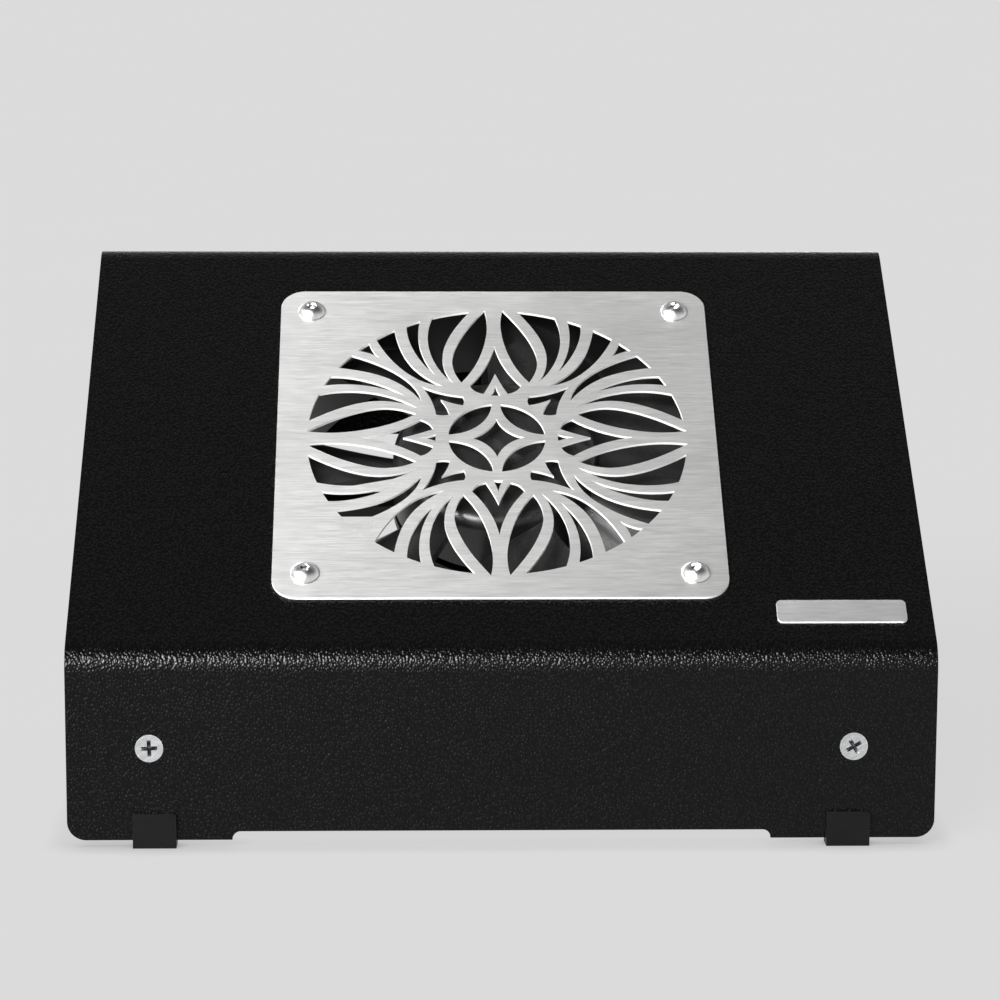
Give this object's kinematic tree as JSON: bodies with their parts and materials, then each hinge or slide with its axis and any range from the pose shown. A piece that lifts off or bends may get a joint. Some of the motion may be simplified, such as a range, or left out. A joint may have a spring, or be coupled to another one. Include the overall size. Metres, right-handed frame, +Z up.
{
  "type": "benchtop fume extractor",
  "caption": "Benchtop fume extractor: a black sheet-metal cover with a sloped deck, an ornamental metal grille plate over an axial fan, an open back and underside, and clip-on rubber feet.",
  "frame": {"origin": "on the table, in the middle of the extractor's outline seen from above", "axes": "+Z up, +X to the right and -Y towards someone facing the low front"},
  "size_m": [0.23, 0.1488, 0.1445],
  "materials": {
    "black_powder_coat": "fine wrinkle powder coat on steel sheet",
    "zinc_plate": "zinc plated",
    "black_rubber": "moulded, slightly shiny",
    "brushed_plate": "brushed along its width",
    "label_foil": "satin, blank",
    "gasket_rubber": "foam",
    "fan_plastic": "moulded",
    "polished_screw": "polished",
    "terminal_brass": "plain",
    "sintered_bronze": "oiled, porous",
    "white_plastic": "moulded",
    "core_steel": "stacked laminations",
    "copper_wire": "enamelled copper",
    "circuit_board": "solder mask",
    "impeller_plastic": "moulded",
    "bright_steel": "ground",
    "ferrite": "bonded ferrite",
    "switch_plastic": "moulded",
    "lever_plastic": "smooth",
    "red_lead": "insulated wire",
    "black_lead": "insulated wire"
  },
  "bodies": {
    "housing": {"top_shell": "black_powder_coat", "left_side_panel": "black_powder_coat", "right_side_panel": "black_powder_coat", "flange_screws": "zinc_plate", "flange_nuts": "zinc_plate", "front_left_foot": "black_rubber", "rear_left_foot": "black_rubber", "front_right_foot": "black_rubber", "rear_right_foot": "black_rubber", "grille_plate": "brushed_plate", "label_plate": "label_foil", "fan_gasket": "gasket_rubber", "fan_housing": "fan_plastic", "grille_screws": "polished_screw", "fan_nuts": "zinc_plate", "bearing_tube": "terminal_brass", "upper_bearing": "sintered_bronze", "lower_bearing": "sintered_bronze", "oil_seal": "black_rubber", "thrust_washer": "white_plastic", "stator_core": "core_steel", "stator_coils": "copper_wire", "motor_circuit_board": "circuit_board", "rocker_switch_body": "switch_plastic", "switch_terminals": "terminal_brass", "power_inlet": "switch_plastic", "inlet_pin": "bright_steel", "inlet_nut": "zinc_plate", "inlet_terminals": "terminal_brass", "lead_inlet_to_switch": "red_lead", "lead_switch_to_fan": "red_lead", "lead_inlet_to_fan": "black_lead"},
    "rotor": {"fan_impeller": "impeller_plastic", "rotor_yoke": "bright_steel", "rotor_magnet": "ferrite", "fan_shaft": "bright_steel", "retaining_clip": "white_plastic"},
    "rocker": {"rocker_switch_lever": "lever_plastic"}
  },
  "joints": [
    {"name": "rotor_spin", "type": "hinge", "parent": "housing", "child": "rotor", "pos_m": [0, -0.00679, 0.09872], "axis": [0, -0.5736, 0.8192], "continuous": true},
    {"name": "rocker_tilt", "type": "hinge", "parent": "housing", "child": "rocker", "pos_m": [0.076, 0.06958, 0.12], "axis": [1, 0, 0], "range_deg": [0, 20]}
  ]
}
